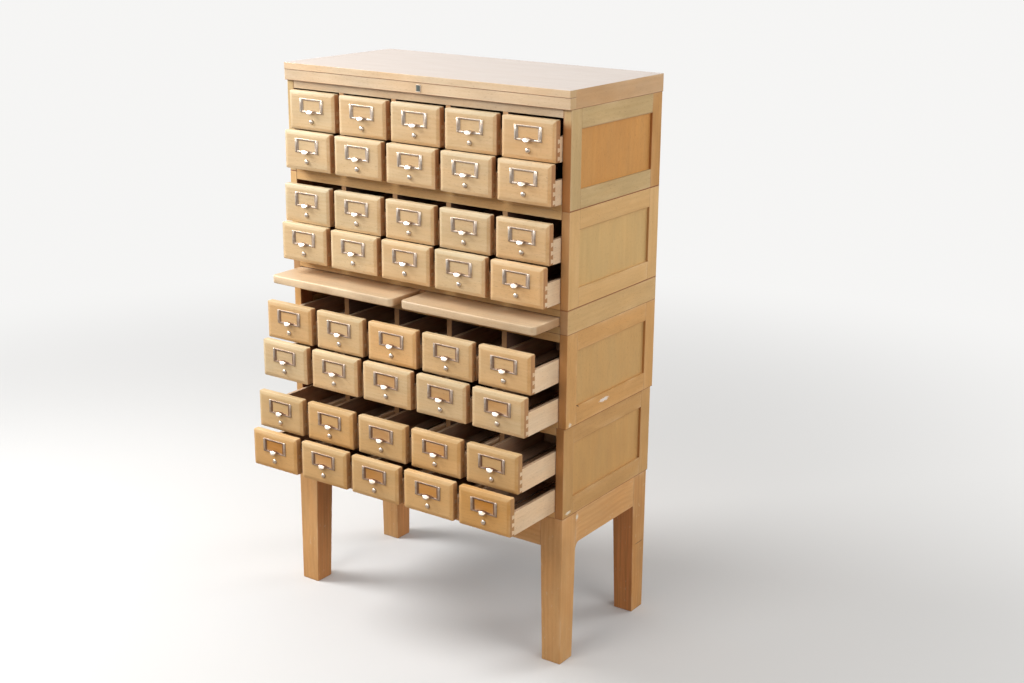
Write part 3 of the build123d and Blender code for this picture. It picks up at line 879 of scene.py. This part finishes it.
def knobAndRod(stock, middle, faceY, underside):
    centre = (middle, underside + knobShape["height"])
    radius, top = knobShape["radius"], faceY - knobShape["length"]
    profile = [(width, faceY - out) for width, out in knobFoot]
    profile.append((knobShape["shoulder"] * radius, faceY - knobShape["neck"]))
    for angle in np.linspace(0, pi / 2 - 0.02, 9):
        profile.append((radius * cos(angle), top + knobShape["dome"] * (1 - sin(angle))))
    addTurned(stock, centre, profile, knobShape["steps"], knobShape["grimeAndShade"])
    rear, front = faceY + drawerShape["length"] - rodShape["fromBack"], faceY + drawerShape["front"]
    addTurned(stock, centre, [(rodShape["radius"], rear), (rodShape["radius"], front)], rodShape["steps"])


# Tone of the drawer fronts: (light, warm) of each row and of each column, and of single fronts and windows
# that stand out. The lower fronts are more olive, and the metal of the lower rows is painted browner, a
# painted reflection of the brown floor.
rowTones = ((0.0, -0.1), (0.15, -0.2), (0.05, -0.3), (0.2, -0.1), (0.1, 0.3), (0.15, -0.2), (-0.2, 0.9),
            (-0.2, 1.2))
columnTones = ((0.05, -0.35), (0.05, -0.2), (0.0, 0.0), (-0.05, -0.1), (-0.05, 0.45))
frontTones = {(2, 2): (0.0, 0.1), (3, 3): (0.1, 0.0), (4, 2): (0.1, -0.1), (4, 5): (-0.05, 0.2),
              (5, 1): (-0.2, 0.7), (5, 3): (0.1, 0.6), (6, 2): (0.05, 0.3), (6, 3): (0.05, 0.2),
              (6, 5): (0.0, -0.4), (7, 2): (0.0, 0.8), (7, 4): (0.1, 0.6), (7, 5): (-0.1, -0.3),
              (8, 1): (-0.1, 0.9), (8, 4): (0.25, 0.3), (8, 5): (-0.3, 0.8)}
windowTones = {(6, 3): (-0.7, 1.6), (6, 4): (-0.6, 1.6), (6, 5): (-0.7, 1.8), (7, 3): (-0.9, 1.4),
               (7, 4): (-0.4, 0.9), (8, 1): (-0.8, 1.6), (8, 2): (-0.5, 1.0), (8, 3): (-0.9, 1.6),
               (8, 4): (-0.7, 1.4), (8, 5): (-0.4, 0.8)}
rowOlive = (0.0, 0.0, 0.02, 0.03, 0.07, 0.05, 0.14, 0.14)
rowReflection = (0.35, 0.4, 0.6, 0.65, 0.85, 0.9, 1.0, 1.0)


def drawer(row, column):
    node, place = f"drawer_row{row}_col{column}", f"row{row}_col{column}"
    dice, wood, tray, metal = diceFor(node), newStock(), newStock(), newStock()
    low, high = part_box(node)
    middle = (low.x + high.x) / 2
    faceY = high.y - drawerShape["length"]
    back = faceY + drawerShape["front"]
    tones = (rowTones[row - 1], columnTones[column - 1], frontTones.get((row, column), (0.0, 0.0)))
    light, warm = (sum(values) for values in zip(*tones))
    look = {"light": light, "warm": warm, "spread": 0.1}
    olive = {"faceColourAndLight": "-y", "faceReach": 9, "faceShare": rowOlive[row - 1]}
    drawerFront(wood, dice, (low.x, faceY, low.z), (high.x, back, high.z), dict(look, **olive))

    # Tray boards and follower are the solids behind the front that are wider than the rod
    behind = [box for box in solidBoxes(node)
              if box[0][1] > faceY + 0.01 and box[1][0] - box[0][0] > trayShape["thinnest"]]
    boards, followers = [], []
    for box in behind:
        isFollower = followerShape["thinnest"] < box[1][1] - box[0][1] < followerShape["thickest"]
        (followers if isFollower else boards).append(box)
    trayBoards(tray, dice, boards, low)
    looks = (tailLooks["pale"], tailLooks["pale" if column == 5 else "shadedBrown"])
    tails(tray, dice, (low.x, high.x), low.z, back, boards[0][1][2] - boards[0][0][2], looks)
    for lower, upper in followers:
        followerBlock(tray, dice, lower, upper)
    makePiece(tray, "tray_" + place, node, [woods["tray"]])

    bottom = low.z + holderShape["bottom"]
    if (row, column) in windowTones:
        lightShift, warmShift = windowTones[row, column]
        look.update(light=light + lightShift, warm=warm + warmShift)
        windowWood(wood, dice, middle, faceY, bottom, look)
    holderPlate(metal, middle, faceY, bottom)
    for side in (-1, 1):
        holderStrip(metal, middle, faceY, bottom, side)
    fingerPull(metal, middle, faceY, bottom + barHeight)
    knobAndRod(metal, middle, faceY, low.z)
    # The lower the row, the more grime and painted brown reflection on the metal
    for tone in metal["tone"]:
        tone[:, 0] *= rowReflection[row - 1]
    makePiece(wood, "front_" + place, node, [woods["front"]], [node])
    makePiece(metal, "hardware_" + place, node, [nickel])


for row in range(1, 9):
    for column in range(1, 6):
        drawer(row, column)
print("drawers made")

# Bare plate on the cap: a nickel rim round a dark field
badgeShape = {"rim": 0.0016, "corner": 0.0025, "fieldCorner": 0.0012}
badgeDark = {"pale": (0.16, 0.18, 0.15), "deep": (0.09, 0.105, 0.09), "worn": (0.4, 0.4, 0.36),
             "end": (0.12, 0.13, 0.11), "stainAndShade": (0.1, 0.1, 0.09), "rings": 60, "ringShare": 0.0,
             "wear": 0.3, "roughness": 0.35, "gloss": 0.5, "bump": 0.1}


def badge():
    stock, dice = started("badge")
    low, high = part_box("cap_badge")
    rim, thick = badgeShape["rim"], high.y - low.y
    plate = [(0.004, 0.0003), (rim, 0.0003), (rim - 0.0003, 0.0), (0.0004, 0.0), (0.0, 0.0004), (0.0, thick)]
    addSlab(stock, low, high, plate, [badgeShape["corner"]] * 4, (0, 2, 1), dice, {})
    low, high = (low.x + rim, low.y, low.z + rim), (high.x - rim, high.y, high.z - rim)
    field = [(0.003, 0.0002), (0.0005, 0.0002), (0.0, 0.0004), (0.0, thick - 0.0002)]
    addSlab(stock, low, high, field, [badgeShape["fieldCorner"]] * 4, (0, 2, 1), dice, {}, finish=1)
    finishes = [nickel, woodFinish("darkPlate", badgeDark)]
    makePiece(stock, "cap_plate", "cabinet", finishes, ["cap_badge"])


badge()
print("cap plate made")

roomLook = {"lit": 0.4, "seen": 0.92, "dim": 0.32, "brightWay": (-0.93, 0.37, 0.0),
            "colour": (1.0, 0.995, 0.985)}


# What each kind of ray meets: the camera sees white all round; shiny surfaces see white behind and to the
# left of the cabinet, and the dimmer room in front of it.
def rayShares(tree, way):
    path = put(tree, "LightPath").outputs
    clear = sums(tree, "MAXIMUM", path["Is Glossy Ray"], path["Is Transmission Ray"])
    facing = vectors(tree, "DOT_PRODUCT", way, roomLook["brightWay"])
    return path["Is Camera Ray"], clear, spanned(tree, facing, -0.1, 0.5, roomLook["dim"], 1.0, "SMOOTHSTEP")


# Stage: a pale floor that fades to white far away, and throws back up the light of a wooden floor
stageLook = {"floor": (0.7, 0.695, 0.685), "thrown": (0.36, 0.29, 0.23), "far": (0.92, 0.915, 0.905),
             "fadeFrom": 1.1, "fadeTo": 3.6, "half": 80}


def stage():
    mesh = bpy.data.meshes.new("floor")
    half = stageLook["half"]
    corners = [(-half, -half, 0), (half, -half, 0), (half, half, 0), (-half, half, 0)]
    mesh.from_pydata(corners, [], [(0, 1, 2, 3)])
    material, tree, shader = newMaterial("floorPaint")
    place = put(tree, "TexCoord").outputs["Object"]
    direct, clear, room = rayShares(tree, vectors(tree, "NORMALIZE", place))
    base = mixed(tree, direct, colour(stageLook["thrown"]), colour(stageLook["floor"]))
    feed(tree, shader, {"Base Color": base, "Roughness": 0.9, "Specular IOR Level": 0.2})
    away = vectors(tree, "LENGTH", place)
    fade = spanned(tree, away, stageLook["fadeFrom"], stageLook["fadeTo"], kind="SMOOTHSTEP")
    strength = times(tree, clear, room, direct)
    white = put(tree, "Emission", {"Color": colour(stageLook["far"]), "Strength": strength})
    share = times(tree, fade, sums(tree, "ADD", direct, clear))
    blend = put(tree, "MixShader", {0: share, 1: shader.outputs[0], 2: white.outputs[0]})
    feed(tree, tree.nodes["Material Output"], {"Surface": blend.outputs[0]})
    mesh.materials.append(material)
    linked("floor", mesh)


# Soft lamps. The one behind isn't mirrored, or the cap's varnish would turn white.
lampLooks = {
    "windowLamp": {"place": (-2.3, -0.95, 2.6), "aim": (0, -0.1, 1.1), "size": 1.4, "power": 105},
    "frontLamp": {"place": (-0.2, -2.7, 2.7), "aim": (0, -0.1, 1.3), "size": 1.6, "power": 40},
    "sideLamp": {"place": (3.4, -0.4, 2.0), "aim": (0, -0.1, 0.9), "size": 2.4, "power": 40},
    "backLamp": {"place": (2.2, 3.2, 1.9), "aim": (0, -0.1, 0.9), "size": 1.8, "power": 50,
                 "mirrored": False},
}


def lamps():
    for name, look in lampLooks.items():
        light = bpy.data.lights.new(name, "AREA")
        light.shape = "DISK"
        light.size = look["size"]
        light.energy = look["power"]
        lamp = linked(name, light)
        lamp.visible_glossy = look.get("mirrored", True)
        lamp.location = look["place"]
        away = Vector(look["place"]) - Vector(look["aim"])
        lamp.rotation_euler = away.to_track_quat("Z", "Y").to_euler()
    world = bpy.data.worlds.new("room")
    world.use_nodes = True
    bpy.context.scene.world = world
    tree = world.node_tree
    direct, clear, room = rayShares(tree, put(tree, "TexCoord").outputs["Generated"])
    lit, seen = roomLook["lit"], roomLook["seen"]
    mirrored = times(tree, clear, times(tree, room, seen, -lit), lit)
    strength = times(tree, direct, seen - lit, mirrored)
    feed(tree, tree.nodes["Background"], {"Color": colour(roomLook["colour"]), "Strength": strength})


# Camera in front, to the right and above: swung to its left, raised from looking down, and rolled a little
cameraLook = {"lens": 52.7, "shift": (-0.025, -0.0065), "place": (2.18588, -2.84668, 1.82515),
              "turns": ((0.59198, "Z"), (1.277876, "X"), (0.01253, "Z"))}


def camera():
    data = bpy.data.cameras.new("camera")
    data.lens = cameraLook["lens"]
    data.shift_x, data.shift_y = cameraLook["shift"]
    data.clip_end = 100
    holder = linked("camera", data)
    stand = Matrix.Translation(cameraLook["place"])
    for angle, axis in cameraLook["turns"]:
        stand = stand @ Matrix.Rotation(angle, 4, axis)
    holder.matrix_world = stand
    bpy.context.scene.camera = holder


stage()
lamps()
camera()
bpy.context.scene.view_settings.view_transform = "Standard"
print("stage, lamps and camera made")
